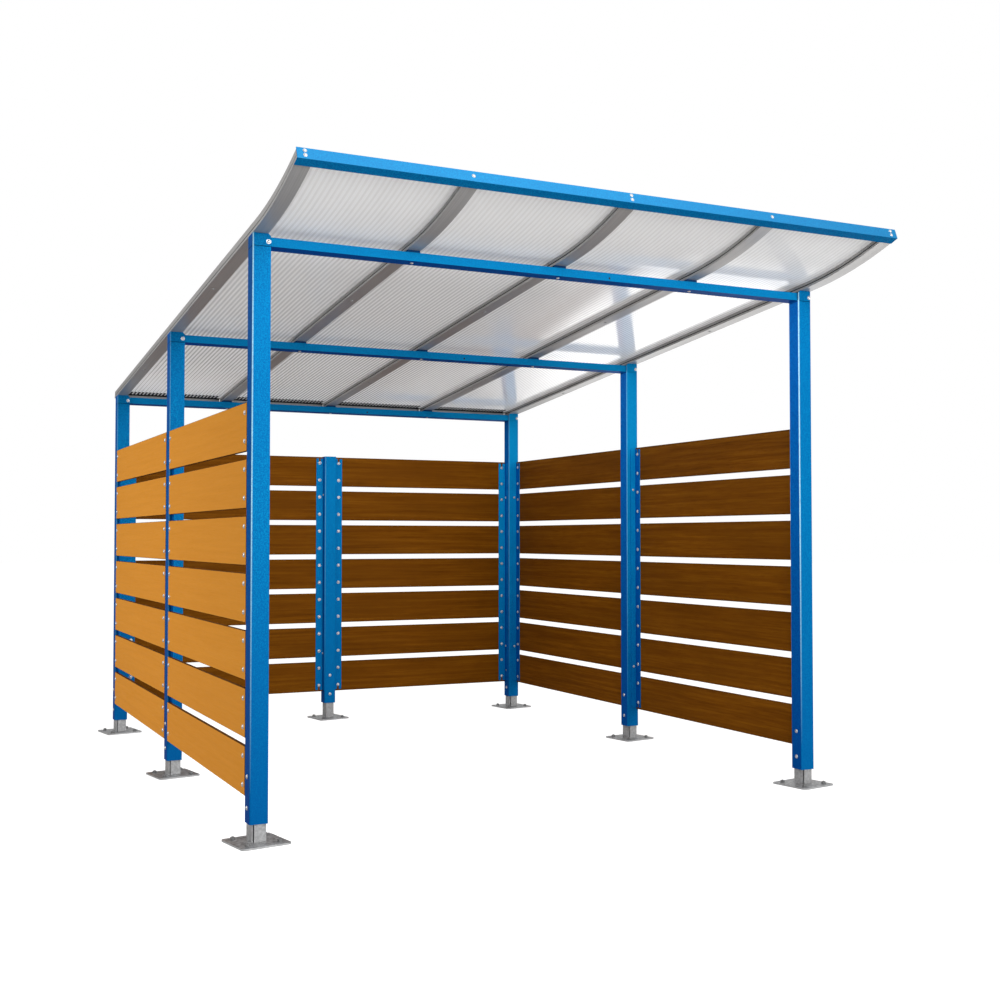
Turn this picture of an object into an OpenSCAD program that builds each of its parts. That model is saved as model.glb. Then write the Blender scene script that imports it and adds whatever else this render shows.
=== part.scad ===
// Bin shelter: seven steel posts on adjustable feet, three cross beams, a sloping
// fluted roof that turns up over the open front, and boarded side and back walls.
// Units are millimetres. X runs along the beams, Y runs from the open front to the
// back, Z is up. The origin is under the middle of the whole object, on the ground.

/* [Overall] */
// width over the outer faces of the posts
width = 2944; // [2000:10:4000]
// depth over the outer faces of the front and back posts
depth = 3454; // [2400:10:4600]
// height of the front post heads seam above the ground, at the front face
front_height = 2494; // [2200:5:2900]
// fall of the straight roof part, in degrees
roof_fall = 5.77; // [3:0.1:9]

/* [Posts] */
// side of the square post tube
post = 80; // [60:1:120]
// wall of the post tube
post_wall = 4; // [3:0.5:6]
// corner radius of the post tube
post_round = 6; // [2:0.5:10]
// height of the lower post ends above the ground
post_lift = 83; // [60:1:140]
// how much higher the lower end of the short back post is
short_lift = 27; // [0:1:60]
// how far the short back post stands behind the line of the corner posts
short_set = 26; // [0:1:40]
// height of the short back post top above the top of the boards
short_over = 3; // [0:1:60]
// thickness of the cap on the short back post
cap_t = 3; // [2:0.5:6]

/* [Feet] */
// side of the square base plate
plate = 222; // [180:2:300]
// thickness of the base plate
plate_t = 8; // [6:1:15]
// corner radius of the base plate
plate_round = 16; // [5:1:50]
// distance from the edge of the base plate to the centre of an anchor hole
hole_edge = 38; // [20:1:50]
// diameter of the anchor holes
hole_d = 14; // [10:1:22]
// angle by which the feet stand turned in the posts
foot_turn = 10; // [0:1:12]
// clearance between the corners of the turned stub and the post tube around it
stub_play = 0.4; // [0.2:0.1:4]
// wall of the stub
stub_wall = 4; // [3:0.5:8]
// width of the open corner slots on each of the two stub faces that meet there
slot = 7; // [5:1:14]
// height of the stub above the lower post end
stub_in = 230; // [120:5:400]
// height of the lower foot bolt above the lower post end
bolt_low = 63; // [40:1:90]
// distance of the upper foot bolt below the top of the stub
bolt_under = 37; // [20:1:60]
// diameter of the spacer pads between stub and post
pad_d = 26; // [20:1:34]

/* [Beams and heads] */
// clearance between the cross beam and each side of the post head
beam_play = 6; // [1:0.5:12]
// clearance between the beam ends and the outer plates of the heads
beam_end = 2; // [1:0.5:6]
// height of the cross beam tube
beam_h = 40; // [30:1:60]
// wall of the cross beam tube
beam_wall = 3; // [2:0.5:5]
// sheet thickness of the post heads
head_t = 4; // [3:0.5:6]
// corner cut of the post head plates
head_cut = 12; // [4:1:20]
// thickness of the pads between beams and roof ribs
pad_t = 10; // [4:1:16]
// distance from the pad edges to the edges of beam and rib
pad_in = 3; // [1:1:10]

/* [Roof] */
// radius of the upturned front part, at the rib underside
roof_radius = 2330; // [1500:10:4000]
// distance from the front face of the front posts to the start of the curve
curve_start = 30; // [0:5:200]
// angle of the roof at its front edge
front_angle = 20.9; // [12:0.1:32]
// overhang of the roof behind the back posts
back_over = 32; // [10:1:200]
// width of a roof rib
rib_w = 66; // [50:1:90]
// height of a roof rib up to the sheets
rib_h = 30; // [24:1:45]
// height of the lip along the lower rib edges
lip_h = 11; // [6:1:12]
// height of the groove over the lip
groove_h = 7; // [4:1:9]
// depth of the groove
groove_d = 12; // [6:1:16]
// setback of the upper rib part from the lip
upper_in = 2; // [0.5:0.5:5]
// wall of the hollow rib
rib_wall = 4; // [2:0.5:6]
// how far the second and fourth rib stand outside the middle between their neighbours
rib_shift = 21.5; // [0:0.5:40]
// thickness of the roof sheets
sheet_t = 10; // [6:1:16]
// width of the upright bar between two sheets
stem_w = 12; // [8:1:20]
// clearance between the sheets and the upright bars
sheet_gap = 4; // [1:0.5:8]
// setback of the sheets from the back end of the ribs
sheet_in = 6; // [5:1:20]
// thickness of the bar that closes the outer side of the end ribs
edge_t = 6; // [3:1:10]
// width of the cover strips over the ribs
cover_w = 60; // [40:1:80]
// thickness of the cover strips
cover_t = 4; // [2:0.5:8]
// leg length of the front fascia angle
fascia_leg = 46; // [30:1:80]
// thickness of the front fascia angle
fascia_t = 3; // [2:0.5:5]
// how far the closing strips at the back reach under the sheets
strip_under = 9; // [5:1:60]
// depth of the strips below the sheets
strip_h = 22; // [10:1:28]
// thickness of the strips
strip_t = 3; // [2:0.5:4]
// clearance between the strips and the ribs
strip_gap = 1; // [0.5:0.5:4]

/* [Walls] */
// number of boards in a wall bay
boards = 7; // [5:1:9]
// height of the lower edge of the walls above the ground
wall_low = 189; // [120:1:400]
// height of the upper edge of the walls above the ground
wall_top = 1842; // [1500:1:2100]
// open gap between two boards
board_slot = 34; // [10:1:80]
// thickness of one board
board_t = 16; // [10:1:30]
// chamfer along the board edges
board_edge = 2; // [0.5:0.5:4]
// clearance between a board end and the post beside it
board_gap = 3; // [1:0.5:8]
// width of the angle leg that the boards are fixed to
flange_w = 55; // [40:1:80]
// width of the angle leg that lies on the post
leg_w = 38; // [25:1:55]
// distance from the angle leg on the short back post to the front face of that post
leg_in = 4; // [2:0.5:10]
// thickness of the wall angles
angle_t = 4; // [3:0.5:6]
// distance from the post to the line of board bolts
bolt_line = 30; // [20:1:45]
// distance from a board edge to its bolts
bolt_edge = 43; // [25:1:60]
// width of the open slots at the angle ends
end_slot = 14; // [9:1:20]
// shortening of the angle at the top and at the bottom
angle_in = 11; // [5:1:30]

/* [Hidden] */
$fn = 64;
t_fall = tan(roof_fall);
x_out = width / 2;
x_post = x_out - post / 2;
y_front = post / 2;
y_back = depth - post / 2;
y_mid = depth / 2;
beam_w = post - 2 * head_t - 2 * beam_play;
beam_l = width - 2 * head_t - 2 * beam_end;
head_u = head_t + beam_h;
rib_u = head_u + pad_t;
// point where the curve starts, on the rib underside
c_y = -curve_start;
c_z = front_height + rib_u / cos(roof_fall) + curve_start * t_fall;
// centre of the curve
o_y = c_y + roof_radius * sin(roof_fall);
o_z = c_z + roof_radius * cos(roof_fall);
// front end of the rib underside
e_y = o_y - roof_radius * sin(front_angle);
e_z = o_z - roof_radius * cos(front_angle);
// length of the straight roof part
run = (depth + back_over - c_y) / cos(roof_fall);
y_min = e_y - fascia_t * cos(front_angle) - fascia_t * sin(front_angle);
turned_wide = cos(foot_turn) + sin(foot_turn);
plate_reach = (plate / 2 - plate_round) * turned_wide + plate_round;
y_max = y_back + short_set + plate_reach;
y_shift = -(y_min + y_max) / 2;
post_in = post - 2 * post_wall;
stub = (post_in - 2 * stub_play) / turned_wide;
hole_pitch = plate - 2 * hole_edge;
board_h = (wall_top - wall_low - (boards - 1) * board_slot) / boards;
board_pitch = board_h + board_slot;
short_leg = post - board_t - short_set - leg_in;
rib_edge = x_out - rib_w / 2;
rib_mid = rib_edge / 2 + rib_shift;
rib_x = [-rib_edge, -rib_mid, 0, rib_mid, rib_edge];
strip_l = sheet_in + strip_under;
blue = [0.02, 0.36, 0.68];
zinc = [0.66, 0.67, 0.68];
alu = [0.6, 0.61, 0.62];
oak = [0.72, 0.46, 0.18];
pane = [0.8, 0.81, 0.82];
dark = [0.08, 0.08, 0.08];

// ---------- shared shapes ----------

// height of the seam under the post heads at depth y
function seam_z(y) = front_height - y * t_fall;

// moves the finished shape so that the origin lies under the middle of the object
module placed() {
  translate([0, y_shift, 0]) children();
}

// square with round corners
module round_square(side, r) {
  square([side, side - 2 * r], center = true);
  square([side - 2 * r, side], center = true);
  for (i = [-1, 1]) {
    for (j = [-1, 1]) {
      translate([i * (side / 2 - r), j * (side / 2 - r)]) circle(r);
    }
  }
}

// everything above a plane that falls with the roof through height z at depth y
module above(y, z) {
  translate([0, y, z])
    rotate([-roof_fall, 0, 0])
      translate([-300, -300, 0])
        cube([600, 600, 600]);
}

// everything below a plane that falls with the roof through height z at depth y
module below(y, z) {
  translate([0, y, z])
    rotate([-roof_fall, 0, 0])
      translate([-300, -300, -600])
        cube([600, 600, 600]);
}

// square post tube with its top cut to the roof slope
module tall_post(x, y) {
  top = seam_z(y);
  difference() {
    translate([x, y, post_lift])
      linear_extrude(top - post_lift + 60)
        difference() {
          round_square(post, post_round);
          square(post_in, center = true);
        }
    translate([x, 0, 0]) above(y, top);
  }
}

// base plate with four anchor holes and a stub open at two opposite corners
module plate_and_stub(lift) {
  difference() {
    linear_extrude(plate_t) round_square(plate, plate_round);
    for (i = [-1, 1]) {
      for (j = [-1, 1]) {
        translate([i * hole_pitch / 2, j * hole_pitch / 2, -1]) cylinder(h = plate_t + 2, d = hole_d);
      }
    }
  }
  difference() {
    linear_extrude(lift + stub_in)
      difference() {
        square(stub, center = true);
        square(stub - 2 * stub_wall, center = true);
      }
    for (s = [0, 180]) {
      rotate([0, 0, s])
        translate([-stub / 2 - 1, -stub / 2 - 1, plate_t])
          cube([slot + 1, slot + 1, lift + stub_in]);
    }
  }
}

// foot: plate and stub, turned a little, with spacer pads that reach the post walls
module foot(x, y, lift, turned) {
  turn = turned ? 90 : 0;
  pad_from = (stub - stub_wall) / 2;
  translate([x, y, 0])
    rotate([0, 0, turn]) {
      rotate([0, 0, foot_turn]) plate_and_stub(lift);
      for (b = [bolt_low, stub_in - bolt_under]) {
        for (s = [0, 180]) {
          rotate([0, 0, s])
            translate([pad_from, 0, lift + b])
              rotate([0, 90, 0])
                cylinder(h = post_in / 2 - pad_from, d = pad_d);
        }
      }
    }
}

// post head: a box without a lid, open on the inner side where the beam comes in
module head(y, side) {
  inner = post - 2 * head_t;
  z0 = seam_z(y);
  cavity_x = side > 0 ? -inner / 2 - 2 * head_t : -inner / 2;
  translate([side * x_post, y, 0])
    difference() {
      translate([0, 0, z0 - post]) linear_extrude(3 * post) round_square(post, post_round);
      below(0, z0);
      above(0, z0 + rib_u / cos(roof_fall));
      difference() {
        translate([cavity_x, -inner / 2, z0 - post]) cube([inner + 2 * head_t, inner, 3 * post]);
        below(0, z0 + head_t / cos(roof_fall));
      }
      for (s = [-1, 1]) {
        translate([-side * post / 2, s * post / 2, z0 + rib_u - s * post / 2 * t_fall])
          rotate([0, 45, 0])
            cube([head_cut * sqrt(2), post / 2, head_cut * sqrt(2)], center = true);
      }
    }
}

// cross beam tube lying in the heads, tilted with the roof
module beam(y) {
  translate([0, y, seam_z(y) + head_t / cos(roof_fall)])
    rotate([-roof_fall, 0, 0])
      translate([-beam_l / 2, -beam_w / 2, 0])
        difference() {
          cube([beam_l, beam_w, beam_h]);
          translate([-1, beam_wall, beam_wall])
            cube([beam_l + 2, beam_w - 2 * beam_wall, beam_h - 2 * beam_wall]);
        }
}

// side view of a roof layer between two distances from the rib underside
module layer_side(u0, u1, back_cut, front_cut) {
  cut = front_cut / roof_radius * 180 / PI;
  translate([c_y, c_z])
    rotate(-roof_fall)
      translate([0, u0])
        square([run - back_cut, u1 - u0]);
  intersection() {
    translate([o_y, o_z])
      difference() {
        circle(roof_radius - u0, $fn = 720);
        circle(roof_radius - u1, $fn = 720);
      }
    polygon([[o_y, o_z],
      [o_y - 2 * roof_radius * sin(roof_fall), o_z - 2 * roof_radius * cos(roof_fall)],
      [o_y - 2 * roof_radius * sin(front_angle - cut), o_z - 2 * roof_radius * cos(front_angle - cut)]]);
  }
}

// roof layer from x0 to x1
module layer(x0, x1, u0, u1, back_cut = 0, front_cut = 0) {
  translate([x0, 0, 0])
    rotate([90, 0, 90])
      linear_extrude(x1 - x0)
        layer_side(u0, u1, back_cut, front_cut);
}

// roof rib; edge is -1 or 1 for the ribs that end the roof, else 0
module rib(x, edge) {
  h = rib_w / 2;
  web = h - groove_d;
  upper_low = lip_h + groove_h;
  chamber = web - rib_wall;
  edge_x = x + edge * (h - upper_in - edge_t / 2);
  difference() {
    union() {
      layer(x - h, x + h, 0, lip_h);
      layer(x - web, x + web, lip_h, upper_low);
      layer(x - h + upper_in, x + h - upper_in, upper_low, rib_h);
      layer(x - stem_w / 2, x + stem_w / 2, rib_h, rib_h + sheet_t);
      if (edge != 0) {
        layer(edge_x - edge_t / 2, edge_x + edge_t / 2, rib_h, rib_h + sheet_t);
      }
    }
    layer(x - chamber, x + chamber, rib_wall, rib_h - rib_wall, -1, -1);
  }
}

// one wall board, lying along X from its own start
module board(len) {
  e = board_edge;
  t = board_t;
  rotate([90, 0, 90])
    linear_extrude(len)
      polygon([[e, 0], [t - e, 0], [t, e], [t, board_h - e],
        [t - e, board_h], [e, board_h], [0, board_h - e], [0, e]]);
}

// stack of boards along X, outer face at y = 0, inner face towards negative Y
module board_stack(len) {
  for (i = [0 : boards - 1]) {
    translate([0, -board_t, wall_low + i * board_pitch]) board(len);
  }
}

// round-ended notch around a board bolt at height z, open upwards (up = 1) or downwards (up = -1)
module end_notch(z, up) {
  translate([bolt_line, -1, z]) {
    rotate([-90, 0, 0]) cylinder(h = angle_t + 2, d = end_slot);
    translate([-end_slot / 2, 0, up > 0 ? 0 : -2 * bolt_edge]) cube([end_slot, angle_t + 2, 2 * bolt_edge]);
  }
}

// wall angle beside a post that ends at x = 0; the boards lie towards positive X
module wall_angle(leg) {
  z0 = wall_low + angle_in;
  z1 = wall_top - angle_in;
  translate([0, -board_t - angle_t, 0])
    difference() {
      union() {
        translate([0, 0, z0]) cube([flange_w, angle_t, z1 - z0]);
        translate([0, angle_t - leg, z0]) cube([angle_t, leg, z1 - z0]);
      }
      end_notch(wall_low + bolt_edge, -1);
      end_notch(wall_top - bolt_edge, 1);
    }
}

// both angles of a bay of the given clear length
module bay_angles(len, leg_a, leg_b) {
  wall_angle(leg_a);
  translate([len, 0, 0]) mirror([1, 0, 0]) wall_angle(leg_b);
}

// puts a bay that runs along X onto the back wall, starting at x0
module on_back(x0) {
  translate([x0, depth, 0]) children();
}

// puts a bay that runs along X onto a side wall, starting at y0
module on_side(side, y0) {
  translate([side * x_out, y0, 0])
    mirror([side > 0 ? 0 : 1, 0, 0])
      mirror([1, -1, 0])
        children();
}

bay_d = (depth - 3 * post) / 2;
bay_w = (width - 3 * post) / 2;

// ---------- posts ----------

module post_front_left() color(blue) placed() tall_post(-x_post, y_front);
module post_front_right() color(blue) placed() tall_post(x_post, y_front);
module post_middle_left() color(blue) placed() tall_post(-x_post, y_mid);
module post_middle_right() color(blue) placed() tall_post(x_post, y_mid);
module post_back_left() color(blue) placed() tall_post(-x_post, y_back);
module post_back_right() color(blue) placed() tall_post(x_post, y_back);

module post_back_short() {
  z0 = post_lift + short_lift;
  z1 = wall_top + short_over - cap_t;
  color(blue)
    placed()
      translate([0, y_back + short_set, z0]) {
        linear_extrude(z1 - z0)
          difference() {
            round_square(post, post_round);
            square(post_in, center = true);
          }
        translate([0, 0, z1 - z0]) linear_extrude(cap_t) round_square(post, post_round);
      }
}

// ---------- feet ----------

module foot_front_left() color(zinc) placed() foot(-x_post, y_front, post_lift, false);
module foot_front_right() color(zinc) placed() foot(x_post, y_front, post_lift, false);
module foot_middle_left() color(zinc) placed() foot(-x_post, y_mid, post_lift, false);
module foot_middle_right() color(zinc) placed() foot(x_post, y_mid, post_lift, false);
module foot_back_left() color(zinc) placed() foot(-x_post, y_back, post_lift, false);
module foot_back_right() color(zinc) placed() foot(x_post, y_back, post_lift, false);
module foot_back_short() color(zinc) placed() foot(0, y_back + short_set, post_lift + short_lift, true);

// ---------- heads and beams ----------

module heads_front() color(blue) placed() for (s = [-1, 1]) head(y_front, s);
module heads_middle() color(blue) placed() for (s = [-1, 1]) head(y_mid, s);
module heads_back() color(blue) placed() for (s = [-1, 1]) head(y_back, s);
module beam_front() color(blue) placed() beam(y_front);
module beam_middle() color(blue) placed() beam(y_mid);
module beam_back() color(blue) placed() beam(y_back);

module rib_pads() {
  color(dark)
    placed()
      for (y = [y_front, y_mid, y_back]) {
        for (i = [1, 2, 3]) {
          translate([rib_x[i], y, seam_z(y) + head_u / cos(roof_fall)])
            rotate([-roof_fall, 0, 0])
              translate([pad_in - rib_w / 2, pad_in - beam_w / 2, 0])
                cube([rib_w - 2 * pad_in, beam_w - 2 * pad_in, pad_t]);
        }
      }
}

// ---------- roof ----------

module rib_1() color(alu) placed() rib(rib_x[0], -1);
module rib_2() color(alu) placed() rib(rib_x[1], 0);
module rib_3() color(alu) placed() rib(rib_x[2], 0);
module rib_4() color(alu) placed() rib(rib_x[3], 0);
module rib_5() color(alu) placed() rib(rib_x[4], 1);

module rib_covers() {
  color(alu)
    placed()
      for (i = [0 : 4]) {
        layer(rib_x[i] - cover_w / 2, rib_x[i] + cover_w / 2, rib_h + sheet_t, rib_h + sheet_t + cover_t);
      }
}

// roof sheet between rib i and the next one
module sheet(i) {
  side = stem_w / 2 + sheet_gap;
  layer(rib_x[i] + side, rib_x[i + 1] - side, rib_h, rib_h + sheet_t, sheet_in, fascia_t);
}

module sheet_1() color(pane) placed() sheet(0);
module sheet_2() color(pane) placed() sheet(1);
module sheet_3() color(pane) placed() sheet(2);
module sheet_4() color(pane) placed() sheet(3);

// closing strips at the back: an angle between two ribs that carries and covers the sheet edge
module rear_strips() {
  color(alu)
    placed()
      translate([0, c_y, c_z])
        rotate([-roof_fall, 0, 0])
          for (i = [0 : 3]) {
            x0 = rib_x[i] + rib_w / 2 + strip_gap;
            len = rib_x[i + 1] - rib_w / 2 - strip_gap - x0;
            translate([x0, run - strip_l, rib_h - strip_t]) cube([len, strip_l, strip_t]);
            translate([x0, run - strip_t, rib_h - strip_h]) cube([len, strip_t, strip_h + sheet_t]);
          }
}

module front_fascia() {
  color(blue)
    placed()
      translate([-x_out, e_y, e_z])
        rotate([-front_angle, 0, 0]) {
          translate([0, -fascia_t, -fascia_t]) cube([width, fascia_leg, fascia_t]);
          translate([0, -fascia_t, -fascia_t]) cube([width, fascia_t, fascia_leg + fascia_t]);
        }
}

// ---------- walls ----------

// stack of boards in one side wall bay that starts at y0
module side_boards(side, y0) {
  color(oak) placed() on_side(side, y0 + board_gap) board_stack(bay_d - 2 * board_gap);
}

// stack of boards in one back wall bay that starts at x0
module back_boards(x0) {
  color(oak) placed() on_back(x0 + board_gap) board_stack(bay_w - 2 * board_gap);
}

module boards_left_front() side_boards(-1, post);
module boards_left_rear() side_boards(-1, y_mid + post / 2);
module boards_right_front() side_boards(1, post);
module boards_right_rear() side_boards(1, y_mid + post / 2);
module boards_back_left() back_boards(-x_out + post);
module boards_back_right() back_boards(post / 2);

// both angles of one side wall bay that starts at y0
module side_angles(side, y0) {
  color(blue) placed() on_side(side, y0) bay_angles(bay_d, leg_w, leg_w);
}

// both angles of one back wall bay that starts at x0; leg_a and leg_b are the legs on the posts
module back_angles(x0, leg_a, leg_b) {
  color(blue) placed() on_back(x0) bay_angles(bay_w, leg_a, leg_b);
}

module angles_left_front() side_angles(-1, post);
module angles_left_rear() side_angles(-1, y_mid + post / 2);
module angles_right_front() side_angles(1, post);
module angles_right_rear() side_angles(1, y_mid + post / 2);
module angles_back_left() back_angles(-x_out + post, leg_w, short_leg);
module angles_back_right() back_angles(post / 2, short_leg, leg_w);

post_front_left();
post_front_right();
post_middle_left();
post_middle_right();
post_back_left();
post_back_right();
post_back_short();
foot_front_left();
foot_front_right();
foot_middle_left();
foot_middle_right();
foot_back_left();
foot_back_right();
foot_back_short();
heads_front();
heads_middle();
heads_back();
beam_front();
beam_middle();
beam_back();
rib_pads();
rib_1();
rib_2();
rib_3();
rib_4();
rib_5();
rib_covers();
sheet_1();
sheet_2();
sheet_3();
sheet_4();
rear_strips();
front_fascia();
boards_left_front();
boards_left_rear();
boards_right_front();
boards_right_rear();
boards_back_left();
boards_back_right();
angles_left_front();
angles_left_rear();
angles_right_front();
angles_right_rear();
angles_back_left();
angles_back_right();
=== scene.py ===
"""Looks of the bin shelter: materials, bolts, fluted roof sheets, lights and camera, in metres."""

import math

import bmesh
import bpy
from mathutils import Matrix, Vector


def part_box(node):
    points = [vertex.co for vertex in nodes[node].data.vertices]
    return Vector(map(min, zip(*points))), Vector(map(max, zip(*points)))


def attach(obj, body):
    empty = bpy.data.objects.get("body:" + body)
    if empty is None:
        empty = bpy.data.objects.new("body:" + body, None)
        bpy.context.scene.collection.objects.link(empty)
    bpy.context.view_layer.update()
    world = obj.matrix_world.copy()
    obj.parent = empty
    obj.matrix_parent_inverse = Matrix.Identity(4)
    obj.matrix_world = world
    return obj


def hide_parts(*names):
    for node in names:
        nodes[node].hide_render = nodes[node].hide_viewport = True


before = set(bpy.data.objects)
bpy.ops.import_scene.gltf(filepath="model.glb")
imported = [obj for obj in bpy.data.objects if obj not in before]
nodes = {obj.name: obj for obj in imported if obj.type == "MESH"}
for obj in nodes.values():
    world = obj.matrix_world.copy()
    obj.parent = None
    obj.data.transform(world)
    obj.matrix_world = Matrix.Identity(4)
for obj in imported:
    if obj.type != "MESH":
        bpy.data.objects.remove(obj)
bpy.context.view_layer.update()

# ---------- sizes ----------

BAYS = ("left_front", "left_rear", "right_front", "right_rear", "back_left", "back_right")
ROWS = ("front", "middle", "back")
TALL_POSTS = [f"post_{row}_{side}" for row in ROWS for side in ("left", "right")]
RIBS = range(1, 6)
INNER_RIBS = range(2, 5)
SHEETS = range(1, 5)

# roof: the slopes of its straight part and of its front edge, the radius of the curve between them,
# the steps of that curve, and thicknesses and gaps of its layers
ROOF_FALL = math.radians(5.77)
FRONT_ANGLE = math.radians(20.9)
ROOF_RADIUS = 2.33
CURVE_STEPS = 20
RIB_TOP = 0.030
SHEET_THICK = 0.010
SHEET_FRONT_GAP = 0.003
SHEET_BACK_GAP = 0.006

# flutes of the sheets: their spacing, the dip of the faces between two flutes, and points in a flute
FLUTE_PITCH = 0.0236
FLUTE_DIP = 0.00015
FLUTE_POINTS = 6

# grooves along both sides of a rib, above its lip, and the rubber strips that fill them
RIB_LIP = 0.011
GROOVE_HIGH = 0.007
GROOVE_DEEP = 0.012
SEAL_CLEAR = 0.0004
SEAL_FLOOR_GAP = 0.0005
SEAL_RECESS = 0.004
SEAL_CROWN = 0.0015
SEAL_END_GAP = 0.002

# closing strips, which reach under the back ends of the sheets, and the toothed strips bent round them
STRIP_UNDER = 0.009
STRIP_ROOM = 0.0032
COMB_SIDE_GAP = 0.002
COMB_CLEAR = 0.0001
COMB_THICK = 0.0010
ROOT_GAP = 0.0005
ROOT_THICK = 0.0020
HOOK_DROP = 0.0035
TOOTH_LENGTH = 0.080
TOOTH_HALF = 0.0074
TOOTH_TAPER = 0.8

# boards, the angles that carry them, and their bolts
BOARDS = 7
BOARD_SLOT = 0.034
BOARD_GAP = 0.003
BOLT_LINE = 0.030
BOLT_EDGE = 0.043
ANGLE_THICK = 0.004
ANGLE_BOLT_FROM_END = 0.268

# the ends of bays at the short post, and how much further out the angle bolts sit there
SHORT_POST_ENDS = (("back_left", 1), ("back_right", -1))
SHORT_POST_SHIFT = 0.010

# posts, their base plates and the bolts through them; head bolts are placed from the left of a post
# and from its top, and anchors from the middle of a plate
FOOT_BOLT_RISES = (0.063, 0.193)
HEAD_BOLT_SIDE = 0.068
HEAD_BOLT_UP = 0.020
PLATE_THICK = 0.008
FOOT_TURN = math.radians(10)
ANCHOR_OUT = 0.073
WASHER_THICK = 0.0022
NUT_HIGH = 0.0090

# beams, ribs and front fascia; fascia bolts are placed from its lower edge
BEAM_HIGH = 0.040
PLUG_FROM_MIDDLE = 0.266
PLUG_UP = 0.014
RIB_SCREW_STEP = 0.88
FASCIA_HIGH = 0.049
FASCIA_PAIR = (0.016, 0.037)
FASCIA_SINGLE = (0.026,)

# directions: upwards, square out of the underside of the straight roof, and along it to the front
UP = Vector((0, 0, 1))
ROOF_DOWN = Vector((0, -math.sin(ROOF_FALL), -math.cos(ROOF_FALL)))
ROOF_AHEAD = Vector((0, -math.cos(ROOF_FALL), math.sin(ROOF_FALL)))

# faces that meet at less than this angle are shaded as one surface
SMOOTH_ANGLE = math.radians(35)

# the range in which most noise values lie
MOST_NOISE = (0.3, 0.7)

# how far a face direction points to the left or right before it counts as sideways
SIDEWAYS = (0.90, 0.98)


# ---------- places from the frame ----------

def roof_line():
    """The run of the roof: a function that gives (y, z) at a distance s behind the start of its curve
    and a height u above the underside of the ribs, then the lengths of the roof from that start to
    its front and back ends, and the y of the start."""
    low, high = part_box("rib_3")
    height = RIB_TOP + SHEET_THICK
    centre_y = low.y + ROOF_RADIUS * math.sin(FRONT_ANGLE)
    centre_z = high.z + (ROOF_RADIUS - height) * math.cos(FRONT_ANGLE)
    start_y = centre_y - ROOF_RADIUS * math.sin(ROOF_FALL)
    start_z = centre_z - ROOF_RADIUS * math.cos(ROOF_FALL)
    front = ROOF_RADIUS * (FRONT_ANGLE - ROOF_FALL)
    back = (high.y - height * math.sin(ROOF_FALL) - start_y) / math.cos(ROOF_FALL)

    def at(s, u):
        if s >= 0:
            y = start_y + s * math.cos(ROOF_FALL) + u * math.sin(ROOF_FALL)
            return y, start_z - s * math.sin(ROOF_FALL) + u * math.cos(ROOF_FALL)
        angle = ROOF_FALL - s / ROOF_RADIUS
        reach = ROOF_RADIUS - u
        return centre_y - reach * math.sin(angle), centre_z - reach * math.cos(angle)

    return at, front, back, start_y


roof_at, roof_front, roof_back, curve_y = roof_line()


def roof_s(y):
    """Distance s of a place y on the straight part of the roof."""
    return (y - curve_y) / math.cos(ROOF_FALL)


def curve_places(end_gap):
    """Distances s of the steps of the curve, from just behind the front edge to the straight part."""
    front = end_gap - roof_front
    return [front * (1 - i / CURVE_STEPS) for i in range(CURVE_STEPS)] + [0]


def rib_middle(number):
    """x of the middle of a rib."""
    low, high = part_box(f"rib_{number}")
    return (low.x + high.x) / 2


def middle_row():
    """y of the middle beam."""
    low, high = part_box("beam_middle")
    return (low.y + high.y) / 2


def board_rows():
    """Bottom of the lowest board, and the height from one board to the next."""
    low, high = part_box("boards_left_front")
    return low.z, (high.z - low.z + BOARD_SLOT) / BOARDS


# ---------- material trees ----------

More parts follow.
